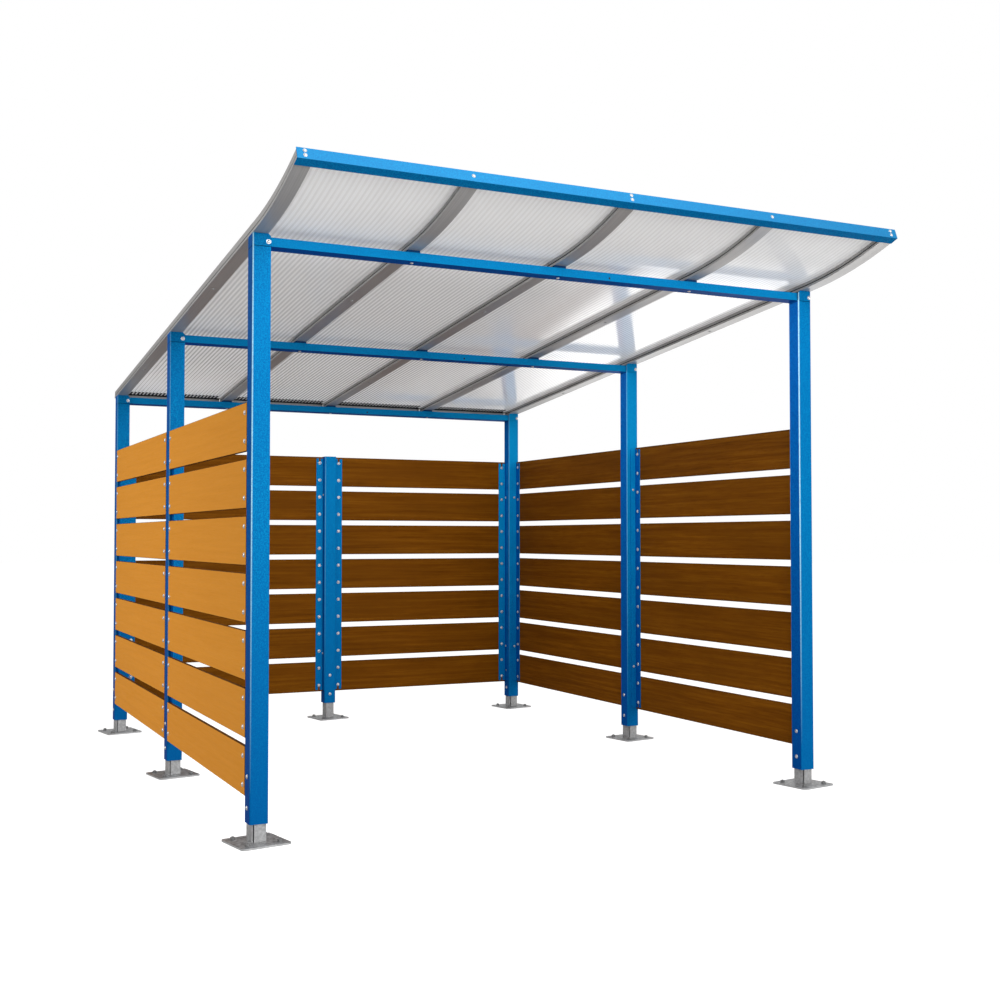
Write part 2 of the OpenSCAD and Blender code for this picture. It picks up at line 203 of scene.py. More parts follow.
class Tree:
    """Short calls that build the nodes of a material or of the world."""

    def __init__(self, owner):
        owner.use_nodes = True
        self.owner = owner
        self.links = owner.node_tree.links
        self.nodes = owner.node_tree.nodes
        self.shader = self.nodes.get("Principled BSDF")
        self.output = self.nodes.get("Material Output")

    def add(self, kind, **settings):
        node = self.nodes.new(kind)
        for key, value in settings.items():
            setattr(node, key, value)
        return node

    def feed(self, socket, value):
        if isinstance(value, bpy.types.NodeSocket):
            self.links.new(value, socket)
        else:
            socket.default_value = value

    def place(self, scale=(1, 1, 1)):
        """Object coordinates, each times its scale."""
        node = self.add("ShaderNodeVectorMath", operation="MULTIPLY")
        self.feed(node.inputs[0], self.add("ShaderNodeTexCoord").outputs["Object"])
        self.feed(node.inputs[1], scale)
        return node.outputs[0]

    def facing(self):
        """The direction that the surface faces, without its bump."""
        return self.add("ShaderNodeNewGeometry").outputs["True Normal"]

    def axes(self, vector):
        node = self.add("ShaderNodeSeparateXYZ")
        self.feed(node.inputs[0], vector)
        return node.outputs

    def joined(self, x, y, z):
        node = self.add("ShaderNodeCombineXYZ")
        for socket, value in zip(node.inputs, (x, y, z)):
            self.feed(socket, value)
        return node.outputs[0]

    def stretched(self, values, scales):
        """A vector of three values, each times its scale."""
        return self.joined(*(self.times(value, scale) for value, scale in zip(values, scales)))

    def calc(self, operation, a, b=0.0, c=0.0):
        node = self.add("ShaderNodeMath", operation=operation)
        for socket, value in zip(node.inputs, (a, b, c)):
            self.feed(socket, value)
        return node.outputs[0]

    def times(self, first, *others):
        for other in others:
            first = self.calc("MULTIPLY", first, other)
        return first

    def noise(self, vector, scale, detail=2.0, rough=0.5):
        node = self.add("ShaderNodeTexNoise")
        self.feed(node.inputs["Vector"], vector)
        self.feed(node.inputs["Scale"], scale)
        self.feed(node.inputs["Detail"], detail)
        self.feed(node.inputs["Roughness"], rough)
        return node.outputs["Fac"]

    def span(self, value, between, results=(0.0, 1.0)):
        """The first result where value is at or below the first of between, the second where it is at
        or above the other, and an even change on the way."""
        node = self.add("ShaderNodeMapRange")
        for socket, number in zip(node.inputs, (value, *between, *results)):
            self.feed(socket, number)
        return node.outputs[0]

    def ramp(self, value, *stops):
        """Colours along value; each stop is (place, (red, green, blue))."""
        node = self.add("ShaderNodeValToRGB")
        band = node.color_ramp.elements
        while len(band) < len(stops):
            band.new(0.5)
        for element, (place, colour) in zip(band, stops):
            element.position = place
            element.color = (*colour, 1)
        self.feed(node.inputs[0], value)
        return node.outputs[0]

    def mix(self, share, a, b, blend="MIX"):
        """Colour a with a share of colour b blended in."""
        node = self.add("ShaderNodeMix", data_type="RGBA", blend_type=blend)
        self.feed(node.inputs[0], share)
        for socket, value in ((node.inputs[6], a), (node.inputs[7], b)):
            self.feed(socket, (*value, 1) if isinstance(value, tuple) else value)
        return node.outputs[2]

    def bump(self, height, distance, strength=1.0, below=None):
        """Bump of the given real depth; below is a bump that it lies on."""
        node = self.add("ShaderNodeBump")
        self.feed(node.inputs["Height"], height)
        self.feed(node.inputs["Distance"], distance)
        self.feed(node.inputs["Strength"], strength)
        if below is not None:
            self.feed(node.inputs["Normal"], below)
        return node.outputs[0]

    def set(self, **values):
        """Inputs of the main shader, with _ for a space."""
        for key, value in values.items():
            self.feed(self.shader.inputs[key.replace("_", " ")], value)
        return self.owner

    def show_sum(self, first, second):
        """Shows two shaders added together."""
        both = self.add("ShaderNodeAddShader")
        self.feed(both.inputs[0], first.outputs[0])
        self.feed(both.inputs[1], second.outputs[0])
        self.feed(self.output.inputs["Surface"], both.outputs[0])


def material_tree(name):
    return Tree(bpy.data.materials.new(name))


# ---------- blue paint ----------

def post_seam(t, y, z):
    """1 on the thin seam between a post and the head on it, which falls to the back, and 0 elsewhere."""
    low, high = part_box("post_front_left")
    level = t.calc("MULTIPLY_ADD", t.calc("SUBTRACT", y, low.y), math.tan(ROOF_FALL), z)
    off = t.calc("ABSOLUTE", t.calc("SUBTRACT", level, high.z))
    edge = (0.0010, 0.0026)
    return t.span(off, edge, (1.0, 0.0))


def painted_light_patches(t, colour, x, y, z, side):
    """Painted light: lighter colour high up on the right posts from the middle row backwards, on the beam
    fronts, which tilt up a little, and on the front of the fascia."""
    right, rear_rows, high_up = (0.6, 1.3), (-0.6, 0.4), (0.5, 1.6)
    not_sideways = t.span(t.calc("ABSOLUTE", side[0]), SIDEWAYS, (1.0, 0.0))
    painted_light = t.times(t.span(x, right), t.span(y, rear_rows, (0.0, 0.60)), not_sideways)
    colour = t.mix(t.times(painted_light, t.span(z, high_up)), colour, (0.004, 0.34, 0.74))
    tilted_up, straight_ahead = (0.05, 0.09), (-0.99, -0.97)
    # painted light on the beam fronts and on the fascia front
    beam_front = t.times(t.span(side[2], tilted_up), t.span(side[1], straight_ahead, (0.40, 0.0)))
    colour = t.mix(beam_front, colour, (0.005, 0.32, 0.72))
    front_end, ahead = (-1.95, -1.80), (-0.90, -0.80)
    fascia = t.times(t.span(y, front_end, (0.50, 0.0)), t.span(side[1], ahead, (1.0, 0.0)))
    return t.mix(fascia, colour, (0.045, 0.25, 0.48))


def painted_face_shade(t, colour, side):
    """Painted shade: darker colour on the faces towards the left and right, and on undersides."""
    sideways = t.span(t.calc("ABSOLUTE", side[0]), SIDEWAYS, (0.0, 0.75))
    colour = t.mix(sideways, colour, (0.25, 0.42, 0.84), "MULTIPLY")
    downward = (0.96, 0.985)
    under = t.span(t.times(side[2], -1.0), downward, (0.0, 0.75))
    return t.mix(under, colour, (0.25, 0.30, 0.80), "MULTIPLY")


def painted_corner_highlight(t, colour, y, z, side, grain):
    """Painted highlight: pale lines on the rounded left corners, broken up by the grain, most high up and
    at the front.
    """
    round_edge, high_up, front_row = (0.15, 0.32), (0.2, 1.4), (-1.2, 0.2)
    corner = t.times(side[0], -1.0, t.calc("ABSOLUTE", side[1]))
    glint = t.times(t.span(corner, round_edge), t.span(grain, (0.3, 0.6), (0.65, 0.95)))
    where = t.times(t.span(z, high_up), t.span(y, front_row, (1.0, 0.2)))
    return t.mix(t.times(glint, where), colour, (0.45, 0.80, 0.97))


def blue_paint():
    """Fine textured powder coat with painted shade that is darkest low down on the left, and a dark seam
    under the post heads.
    """
    t = material_tree("blue_powder_coat")
    place = t.place()
    x, y, z = t.axes(place)
    side = t.axes(t.facing())
    grain = t.noise(place, scale=175, detail=2, rough=0.55)
    fine = t.noise(place, scale=700, detail=1)
    cloud = t.noise(place, scale=2.2, detail=2)
    deep, plain, bright = (0.0008, 0.126, 0.375), (0.0012, 0.184, 0.46), (0.0030, 0.260, 0.56)
    colour = t.ramp(grain, (0.32, deep), (0.50, plain), (0.68, bright))
    colour = t.mix(t.span(cloud, MOST_NOISE, (0.0, 0.25)), colour, (0.0015, 0.155, 0.46))
    # painted shade: darker low down, most on the left
    low_down, left = (0.1, 1.3), (-1.3, 0.0)
    low = t.times(t.span(z, low_down, (0.55, 0.0)), t.span(x, left, (1.45, 1.0)))
    colour = t.mix(low, colour, (0.0010, 0.100, 0.34))
    seam = post_seam(t, y, z)
    colour = t.mix(t.times(seam, 0.85), colour, (0.001, 0.03, 0.09))
    # painted light and painted shade by place and face direction, and painted highlights on the left
    # corners
    colour = painted_light_patches(t, colour, x, y, z, side)
    colour = painted_face_shade(t, colour, side)
    colour = painted_corner_highlight(t, colour, y, z, side, grain)
    rough = t.span(grain, MOST_NOISE, (0.38, 0.52))
    normal = t.bump(fine, distance=0.0001, strength=0.5)
    normal = t.bump(grain, distance=0.0008, strength=0.6, below=normal)
    normal = t.bump(t.times(seam, -1), distance=0.001, strength=0.8, below=normal)
    return t.set(Base_Color=colour, Roughness=rough, Normal=normal, Specular_IOR_Level=0.01)


# ---------- metals and rubber ----------

def galvanised():
    """Hot dip zinc: crystal flakes of differing grey. The upright rims of the base plates carry painted
    light, and the stubs on them are paler than the tops of the plates."""
    t = material_tree("galvanised_zinc")
    place = t.place()
    flakes = t.add("ShaderNodeTexVoronoi", feature="F1")
    t.feed(flakes.inputs["Vector"], place)
    t.feed(flakes.inputs["Scale"], 140)
    flake = t.axes(flakes.outputs["Color"])[0]
    mottle = t.noise(place, scale=75, detail=4, rough=0.65)
    dust = t.noise(place, scale=500, detail=2)
    dark, grey, pale = (0.13, 0.131, 0.132), (0.24, 0.242, 0.244), (0.44, 0.443, 0.446)
    colour = t.ramp(flake, (0.0, dark), (0.5, grey), (1.0, pale))
    stain = t.ramp(mottle, (0.42, (0.075, 0.075, 0.076)), (0.58, (0.42, 0.42, 0.423)))
    colour = t.mix(0.55, colour, stain)
    height = t.axes(place)[2]
    # painted light on the upright rims of the base plates
    upright = t.span(t.axes(t.facing())[2], (0.6, 0.8), (1.0, 0.0))
    rim = t.times(upright, t.span(height, (PLATE_THICK, PLATE_THICK + 0.002), (0.7, 0.0)))
    colour = t.mix(rim, colour, (0.60, 0.603, 0.606))
    above = t.span(height, (PLATE_THICK, PLATE_THICK + 0.004), (0.0, 0.45))
    colour = t.mix(above, colour, (0.66, 0.663, 0.666))
    rough = t.span(flake, (0, 1), (0.34, 0.55))
    normal = t.bump(dust, distance=0.0002, strength=0.4)
    normal = t.bump(mottle, distance=0.001, strength=0.35, below=normal)
    return t.set(Base_Color=colour, Roughness=rough, Normal=normal, Metallic=0.4)


def drawn_aluminium():
    """Extruded aluminium with fine draw lines along the roof."""
    t = material_tree("drawn_aluminium")
    lines = t.noise(t.place((420, 1.2, 2)), scale=1, detail=3, rough=0.6)
    cloud = t.noise(t.place((14, 1.5, 4)), scale=1, detail=3, rough=0.5)
    colour = t.ramp(lines, (0.3, (0.40, 0.392, 0.384)), (0.7, (0.54, 0.530, 0.520)))
    colour = t.mix(t.span(cloud, MOST_NOISE, (0.0, 0.4)), colour, (0.44, 0.43, 0.42))
    rough = t.span(cloud, MOST_NOISE, (0.34, 0.44))
    normal = t.bump(lines, distance=0.0001, strength=0.2)
    return t.set(Base_Color=colour, Roughness=rough, Normal=normal, Metallic=0.35, Specular_IOR_Level=0.3)


def bolt_steel():
    """Bright zinc-plated steel."""
    t = material_tree("plated_steel")
    place = t.place()
    cloud = t.noise(place, scale=180, detail=3)
    fine = t.noise(place, scale=1500, detail=1)
    colour = t.ramp(cloud, (0.3, (0.50, 0.50, 0.51)), (0.7, (0.72, 0.72, 0.73)))
    rough = t.span(cloud, MOST_NOISE, (0.24, 0.34))
    normal = t.bump(fine, distance=0.00005, strength=0.3)
    return t.set(Base_Color=colour, Roughness=rough, Normal=normal, Metallic=0.7)


def dull_steel(name, dark, pale):
    """Dull grey passivated steel, clouded between two greys."""
    t = material_tree(name)
    cloud = t.noise(t.place(), scale=220, detail=3)
    colour = t.ramp(cloud, (0.3, (dark, dark, dark)), (0.7, (pale, pale, pale)))
    rough = t.span(cloud, MOST_NOISE, (0.36, 0.5))
    normal = t.bump(cloud, distance=0.00005, strength=0.3)
    return t.set(Base_Color=colour, Roughness=rough, Normal=normal, Metallic=0.3)


def rubber(name, tint):
    """Dark rubber and plastic, faintly grained and tinted."""
    t = material_tree(name)
    grain = t.noise(t.place(), scale=450, detail=3)
    colour = t.ramp(grain, (0.3, (0.020, 0.021, 0.023)), (0.7, (0.046, 0.048, 0.052)))
    colour = t.mix(1.0, colour, tint, "MULTIPLY")
    rough = t.span(grain, MOST_NOISE, (0.5, 0.7))
    normal = t.bump(grain, distance=0.0002, strength=0.5)
    return t.set(Base_Color=colour, Roughness=rough, Normal=normal, Specular_IOR_Level=0.05)


# ---------- wood ----------

def board_chance(t, ends, along):
    """A chance number from 0 to 1 for every board; the two sides of a wall's middle have their own."""
    bottom, pitch = board_rows()
    board = t.calc("FLOOR", t.calc("DIVIDE", t.calc("SUBTRACT", ends[2], bottom - BOARD_SLOT / 2), pitch))
    wall_middle = middle_row() if along else 0.0
    bay = t.calc("GREATER_THAN", ends[along], wall_middle)
    dice = t.add("ShaderNodeTexWhiteNoise", noise_dimensions="2D")
    t.feed(dice.inputs["Vector"], t.joined(board, bay, 0.0))
    return dice.outputs["Value"]


def dark_stain(t, ends, streak, pores, cloud, painted_light_levels):
    """Brown stain, darker along the edges of the boards; painted_light_levels are painted light and shade,
    its brightness low and high on the wall."""
    deep, plain, bright = (0.118, 0.036, 0.0013), (0.168, 0.053, 0.0021), (0.228, 0.079, 0.004)
    dark = t.ramp(streak, (0.30, deep), (0.50, plain), (0.72, bright))
    dark = t.mix(t.span(pores, (0.50, 0.75), (0.0, 0.45)), dark, (0.066, 0.020, 0.001))
    dark = t.mix(t.span(cloud, (0.35, 0.70), (0.0, 0.45)), dark, (0.112, 0.036, 0.002))
    bottom, pitch = board_rows()
    part = t.calc("FRACT", t.calc("DIVIDE", t.calc("SUBTRACT", ends[2], bottom), pitch))
    board_part = 1 - BOARD_SLOT / pitch
    edge = t.calc("MINIMUM", part, t.calc("SUBTRACT", board_part, part))
    dark = t.mix(t.span(edge, (0.008, 0.040), (0.50, 0.0)), dark, (0.060, 0.020, 0.001))
    # painted light and shade: brightness changes with height on the wall
    wall_height = (0.4, 1.9)
    painted_level = t.span(ends[2], wall_height, painted_light_levels)
    return t.mix(1.0, dark, t.joined(painted_level, painted_level, painted_level), "MULTIPLY")


def honey_wood(t, streak, pores, chance):
    """Honey coloured wood, some boards a little darker than others."""
    light = t.ramp(streak, (0.30, (0.84, 0.335, 0.036)), (0.70, (0.90, 0.370, 0.045)))
    light = t.mix(t.span(pores, (0.55, 0.80), (0.0, 0.20)), light, (0.66, 0.240, 0.026))
    return t.mix(t.span(chance, (0, 1), (0.0, 0.22)), light, (0.78, 0.305, 0.038))


def wood(name, along, outward, painted_light_levels=(1.0, 1.0)):
    """Boards along X (0) or Y (1): honey coloured on the outer face, dark stained elsewhere.
    outward is the direction of the outer face."""
    t = material_tree(name)
    ends = t.axes(t.place())
    chance = board_chance(t, ends, along)
    shift = t.times(chance, 40.0)
    length = t.calc("ADD", ends[along], shift)
    height = t.calc("ADD", ends[2], shift)
    depth = ends[1 - along]
    sway = t.noise(t.stretched((length, height, depth), (1.1, 3.0, 1.0)), scale=1, detail=2)
    wavy = t.calc("MULTIPLY_ADD", sway, 0.025, height)
    streak = t.noise(t.stretched((length, wavy, depth), (1.6, 58.0, 58.0)), scale=1, detail=4, rough=0.6)
    pores = t.noise(t.stretched((length, wavy, depth), (11.0, 240.0, 240.0)), scale=1, detail=2, rough=0.6)
    cloud = t.noise(t.stretched((length, height, depth), (1.0, 4.0, 1.0)), scale=1.3, detail=2)
    outer = t.add("ShaderNodeVectorMath", operation="DOT_PRODUCT")
    t.feed(outer.inputs[0], t.facing())
    t.feed(outer.inputs[1], outward)
    face = t.span(outer.outputs["Value"], (0.9, 0.95))
    dark = dark_stain(t, ends, streak, pores, cloud, painted_light_levels)
    colour = t.mix(face, dark, honey_wood(t, streak, pores, chance))
    relief = t.calc("ADD", t.times(streak, 0.6), t.times(pores, 0.4))
    rough = t.span(pores, MOST_NOISE, (0.48, 0.66))
    normal = t.bump(relief, distance=0.0005, strength=0.35)
    return t.set(Base_Color=colour, Roughness=rough, Normal=normal, Specular_IOR_Level=0.02)


# ---------- roof plastic ----------

def painted_sheet_light(t, colour, x, y):
    """Painted shade: greyer between the front and middle beams; painted light: paler at the back on the
    left.
    """
    front_beam, middle_beam, right_end = (-1.2, -0.9), (0.3, 0.9), (0.3, 1.0)
    # painted shade between the front and middle beams
    between = t.times(t.span(y, front_beam, (0.0, 0.22)), t.span(y, middle_beam, (1.0, 0.0)))
    colour = t.mix(t.times(between, t.span(x, right_end, (1.0, 0.0))), colour, (0.28, 0.278, 0.274))
    # painted light at the back on the left
    back, left = (1.0, 1.6), (-1.0, -0.5)
    lit = t.times(t.span(y, back), t.span(x, left, (0.35, 0.0)))
    return t.mix(lit, colour, (0.90, 0.896, 0.890))


def roof_sheet(name, middle):
    """Twin-wall plastic: flutes along the roof show as stripes under a smooth glossy skin.
    middle is the x of the sheet's own middle, where a flute is centred."""
    t = material_tree(name)
    x, y = t.axes(t.place())[:2]
    flute = t.calc("DIVIDE", t.calc("SUBTRACT", x, middle), FLUTE_PITCH)
    stripe = t.span(t.calc("COSINE", t.times(flute, 2 * math.pi)), (-1, 1))
    cloud = t.noise(t.place((9, 1.2, 9)), scale=1, detail=3, rough=0.55)
    fine = t.noise(t.place((160, 5, 5)), scale=1, detail=2, rough=0.6)
    dark, grey, pale = (0.13, 0.128, 0.125), (0.43, 0.427, 0.422), (0.86, 0.856, 0.85)
    striped = t.ramp(stripe, (0.0, dark), (0.5, grey), (1.0, pale))
    front_part, back_part = (-1.9, -0.7), (-0.7, 1.9)
    clear = t.calc("ADD", t.span(y, front_part, (0.2, 0.55)), t.span(y, back_part, (0.0, 0.45)))
    colour = t.mix(clear, (0.70, 0.695, 0.688), striped)
    colour = t.mix(t.span(cloud, MOST_NOISE, (0.0, 0.2)), colour, (0.50, 0.496, 0.49))
    colour = t.mix(t.span(fine, (0.4, 0.8), (0.0, 0.2)), colour, (0.36, 0.356, 0.35))
    colour = painted_sheet_light(t, colour, x, y)
    glow = t.add("ShaderNodeBsdfTranslucent")
    t.feed(glow.inputs["Color"], t.mix(t.times(stripe, clear), (0.33, 0.33, 0.33), (0.44, 0.44, 0.44)))
    t.show_sum(t.shader, glow)
    rough = t.span(fine, MOST_NOISE, (0.42, 0.52))
    normal = t.bump(fine, distance=0.00005, strength=0.2)
    right_half, behind_edge = (0.12, 0.42), (-1.75, -1.35)
    gloss = t.times(t.span(x, right_half, (0.08, 1.0)), t.span(y, behind_edge, (0.15, 1.0)))
    t.set(Coat_Weight=gloss, Coat_Roughness=0.12, Coat_IOR=1.62, Specular_IOR_Level=t.times(gloss, 0.3))
    return t.set(Base_Color=colour, Roughness=rough, Normal=normal, IOR=1.5)


BLUE = blue_paint()
ZINC = galvanised()
ALU = drawn_aluminium()
STEEL = bolt_steel()
DULL = dull_steel("dull_steel", 0.16, 0.26)
GREY = dull_steel("grey_steel", 0.36, 0.50)
RUBBER = rubber("black_rubber", (1.0, 1.0, 1.0))
PAD_RUBBER = rubber("navy_rubber", (0.15, 1.5, 4.5))


def dress(names, material):
    """Puts a material on CAD nodes."""
    for name in names:
        for slot in nodes[name].material_slots:
            slot.material = material


# ---------- mesh helpers ----------

def finish_piece(name, bm, material):
    """Turns a bmesh into a shaded object that rides on the shelter."""
    bmesh.ops.recalc_face_normals(bm, faces=bm.faces)
    mesh = bpy.data.meshes.new(name)
    bm.to_mesh(mesh)
    bm.free()
    for face in mesh.polygons:
        face.use_smooth = True
    mesh.set_sharp_from_angle(angle=SMOOTH_ANGLE)
    mesh.materials.append(material)
    piece = bpy.data.objects.new(name, mesh)
    bpy.context.scene.collection.objects.link(piece)
    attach(piece, "root")
    return piece


def lathe(bm, at, axis, profile, sides=16, turn=0.0):
    """Solid of revolution: profile is a list of (radius, height) from the base to the tip, both on
    the axis, where a ring is a single point."""
    place = Matrix.Translation(at) @ Vector(axis).to_track_quat("Z", "Y").to_matrix().to_4x4()
    angles = [turn + 2 * math.pi * i / sides for i in range(sides)]
    rings = []
    for radius, height in profile:
        spots = [(radius * math.cos(angle), radius * math.sin(angle), height) for angle in angles]
        if radius == 0:
            spots = [(0, 0, height)]
        rings.append([bm.verts.new(place @ Vector(spot)) for spot in spots])
    for low, high in zip(rings, rings[1:]):
        for i in range(sides):
            j = (i + 1) % sides
            corners = [low[i % len(low)], low[j % len(low)], high[j % len(high)], high[i % len(high)]]
            bm.faces.new(list(dict.fromkeys(corners)))


def close_rings(bm, rings):
    """Skins a row of equal rings of points and closes both ends."""
    for a, b in zip(rings, rings[1:]):
        for i in range(len(a)):
            j = (i + 1) % len(a)
            bm.faces.new((a[i], a[j], b[j], b[i]))
    bm.faces.new(rings[0])
    bm.faces.new(rings[-1])


def roof_points(bm, places):
    """Mesh points at places (x, s, u) of the roof."""
    return [bm.verts.new((x, *roof_at(s, u))) for x, s, u in places]


def axis_direction(axis, sense):
    """Unit direction along axis 0, 1 or 2; sense is 1 or -1."""
    direction = Vector((0, 0, 0))
    direction[axis] = sense
    return direction


# ---------- bolt profiles, as (radius, height) from the base to the tip ----------

def dome_profile(radius, height, washer, thick, steps=5):
    """Washer with a domed bolt head on it."""
    edge = thick * 0.3
    points = [(0, 0), (washer, 0), (washer, thick - edge), (washer - edge, thick), (radius, thick)]
    rise = height - thick
    for i in range(1, steps):
        angle = 0.5 * math.pi * i / steps
        points.append((radius * math.cos(angle), thick + rise * math.sin(angle)))
    points.append((0, height))
    return points


def plug_profile(radius=0.0052, edge=0.0006, crown=0.0042, height=0.0012, dish=0.0018, floor=0.0008):
    """Flat plug with a bevelled rim round a shallow dish."""
    return [(0, 0), (radius, 0), (radius, edge), (crown, height), (dish, floor), (0, floor)]


def washer_profile(radius=0.0125, bevel=0.0006):
    """Plain washer with a bevelled upper edge."""
    top = WASHER_THICK
    return [(0, 0), (radius, 0), (radius, top - bevel), (radius - bevel, top), (0, top)]


def nut_profile(radius=0.0106, inset=0.0010, bevel=0.0008):
    """Hexagonal nut, bevelled at both ends."""
    face = radius - inset
    return [(0, 0), (face, 0), (radius, bevel), (radius, NUT_HIGH - bevel), (face, NUT_HIGH), (0, NUT_HIGH)]


def rod_profile(radius=0.0052, depth=0.0004, pitch=0.0006, turns=3, point=0.0010, tip=0.0008):
    """Threaded rod end: a groove in each turn of the thread, and a bevelled tip."""
    points = [(0, 0), (radius, 0)]
    for i in range(turns):
        points += [(radius - depth, (i + 0.5) * pitch), (radius, (i + 1) * pitch)]
    top = turns * pitch + tip
    return points + [(radius - point, top), (0, top)]


BOARD_BOLT = dome_profile(radius=0.0098, height=0.0068, washer=0.0112, thick=0.0012)
POST_BOLT = dome_profile(radius=0.0088, height=0.0064, washer=0.0102, thick=0.0015)
SMALL_BOLT = dome_profile(radius=0.0070, height=0.0048, washer=0.0085, thick=0.0010)


# ---------- bolts ----------

def board_bolt_heights():
    """Heights of the two bolts of every board."""
    lowest, pitch = board_rows()
    heights = []
    for i in range(BOARDS):
        bottom = lowest + i * pitch
        heights += [bottom + BOLT_EDGE, bottom + pitch - BOARD_SLOT - BOLT_EDGE]
    return heights


def wall_frame(bay):
    """Axis along a wall bay, axis across it, and the sense of its outward direction on that axis."""
    if bay.startswith("back"):
        return 0, 1, 1
    return 1, 0, -1 if bay.startswith("left") else 1


def bolt_wall(bay):
    """Domed bolts of one wall bay: outside on the boards, and inside on the angles behind them."""
    along, across, sense = wall_frame(bay)
    low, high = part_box("boards_" + bay)
    outer, inner = (high, low) if sense > 0 else (low, high)
    flange = inner[across] - sense * ANGLE_THICK
    outward = axis_direction(across, sense)
    bm = bmesh.new()
    for end in (low[along] - BOARD_GAP + BOLT_LINE, high[along] + BOARD_GAP - BOLT_LINE):
        for height in board_bolt_heights():
            for face, facing in ((outer[across], outward), (flange, -outward)):
                spot = Vector((0, 0, height))
                spot[along] = end
                spot[across] = face
                lathe(bm, spot, facing, BOARD_BOLT)
    finish_piece("board_bolts_" + bay, bm, STEEL)


def bolt_angles():
    """Small bolts that hold the wall angles to the posts; at the short post they sit further out."""
    bm = bmesh.new()
    for bay in BAYS:
        along, across = wall_frame(bay)[:2]
        low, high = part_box("boards_" + bay)
        angle_low, angle_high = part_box("angles_" + bay)
        middle = (angle_low[across] + angle_high[across]) / 2
        for side, post_face in ((-1, low[along] - BOARD_GAP), (1, high[along] + BOARD_GAP)):
            shift = SHORT_POST_SHIFT if (bay, side) in SHORT_POST_ENDS else 0.0
            for height in (low.z + ANGLE_BOLT_FROM_END, high.z - ANGLE_BOLT_FROM_END):
                spot = Vector((0, 0, height))
                spot[along] = post_face - side * ANGLE_THICK
                spot[across] = middle + shift
                lathe(bm, spot, axis_direction(along, -side), SMALL_BOLT)
    finish_piece("angle_bolts", bm, STEEL)


def bolt_feet():
    """Bolts through the lower post ends, from left to right, or from front to back in the short post."""
    bm = bmesh.new()
    for name in TALL_POSTS + ["post_back_short"]:
        low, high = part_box(name)
        across = 1 if name == "post_back_short" else 0
        for rise in FOOT_BOLT_RISES:
            for side, face in ((-1, low[across]), (1, high[across])):
                spot = (low + high) / 2
                spot.z = low.z + rise
                spot[across] = face
                lathe(bm, spot, axis_direction(across, side), POST_BOLT)
    finish_piece("foot_bolts", bm, STEEL)


def anchor_feet():
    """Washer, nut and short rod end in every corner of the base plates, which stand turned. Each nut
    is turned by another angle."""
    foot_step, side_step, end_step = 0.7, 1.9, 2.6
    washer, nut, rod = washer_profile(), nut_profile(), rod_profile()
    bm = bmesh.new()
    for number, name in enumerate(sorted(key for key in nodes if key.startswith("foot_"))):
        low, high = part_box(name)
        middle = (low + high) / 2
        for i in (0, 1):
            for j in (0, 1):
                turn = foot_step * number + side_step * i + end_step * j
                out = Matrix.Rotation(FOOT_TURN, 2) @ Vector((2 * i - 1, 2 * j - 1)) * ANCHOR_OUT
                x, y = middle.x + out.x, middle.y + out.y
                lathe(bm, (x, y, PLATE_THICK), UP, washer, sides=20)
                lathe(bm, (x, y, PLATE_THICK + WASHER_THICK), UP, nut, sides=6, turn=turn)
                rod_foot = PLATE_THICK + WASHER_THICK + NUT_HIGH
                lathe(bm, (x, y, rod_foot), UP, rod, sides=12, turn=turn)
    finish_piece("anchor_bolts", bm, DULL)


def bolt_heads():
    """Bolts through the front and back of the post heads."""
    bm = bmesh.new()
    for name in TALL_POSTS:
        low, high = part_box(name)
        x = low.x + HEAD_BOLT_SIDE
        lathe(bm, (x, low.y, high.z + HEAD_BOLT_UP), (0, -1, 0), POST_BOLT)
        back_z = high.z - (high.y - low.y) * math.tan(ROOF_FALL)
        lathe(bm, (x, high.y, back_z + HEAD_BOLT_UP), (0, 1, 0), POST_BOLT)
    finish_piece("head_bolts", bm, STEEL)


def bolt_beams():
    """Bolt heads under the beams where the inner ribs cross, and a black plug in each beam's front."""
    bolts = bmesh.new()
    plugs = bmesh.new()
    for row in ROWS:
        low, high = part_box("beam_" + row)
        depth = (high.y - low.y - BEAM_HIGH * math.sin(ROOF_FALL)) / math.cos(ROOF_FALL)
        y = low.y + depth / 2 * math.cos(ROOF_FALL)
        z = low.z + depth / 2 * math.sin(ROOF_FALL)
        for number in INNER_RIBS:
            lathe(bolts, Vector((rib_middle(number), y, z)), ROOF_DOWN, SMALL_BOLT)
        front_edge = Vector((PLUG_FROM_MIDDLE, low.y, low.z + depth * math.sin(ROOF_FALL)))
        lathe(plugs, front_edge - ROOF_DOWN * PLUG_UP, ROOF_AHEAD, plug_profile())
    finish_piece("beam_bolts", bolts, STEEL)
    finish_piece("beam_plugs", plugs, RUBBER)


def screw_ribs():
    """Screws in the undersides of the ribs, in front of and behind the middle beam."""
    bm = bmesh.new()
    middle = middle_row()
    for number in RIBS:
        for y in (middle - RIB_SCREW_STEP, middle + RIB_SCREW_STEP):
            spot = Vector((rib_middle(number), *roof_at(roof_s(y), 0)))
            lathe(bm, spot, ROOF_DOWN, SMALL_BOLT)
    finish_piece("rib_screws", bm, GREY)


def bolt_fascia():
    """Bolts in the front fascia: a pair at the outer and middle ribs, one at the others."""
    low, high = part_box("front_fascia")
    up = Vector((0, math.sin(FRONT_ANGLE), math.cos(FRONT_ANGLE)))
    out = Vector((0, -math.cos(FRONT_ANGLE), math.sin(FRONT_ANGLE)))
    foot = Vector((0, low.y, high.z - FASCIA_HIGH * math.cos(FRONT_ANGLE)))
    bm = bmesh.new()
    for number in RIBS:
        across = Vector((rib_middle(number), 0, 0))
        for rise in FASCIA_PAIR if number % 2 else FASCIA_SINGLE:
            lathe(bm, foot + up * rise + across, out, SMALL_BOLT)
    finish_piece("fascia_bolts", bm, STEEL)


# ---------- roof sheets ----------

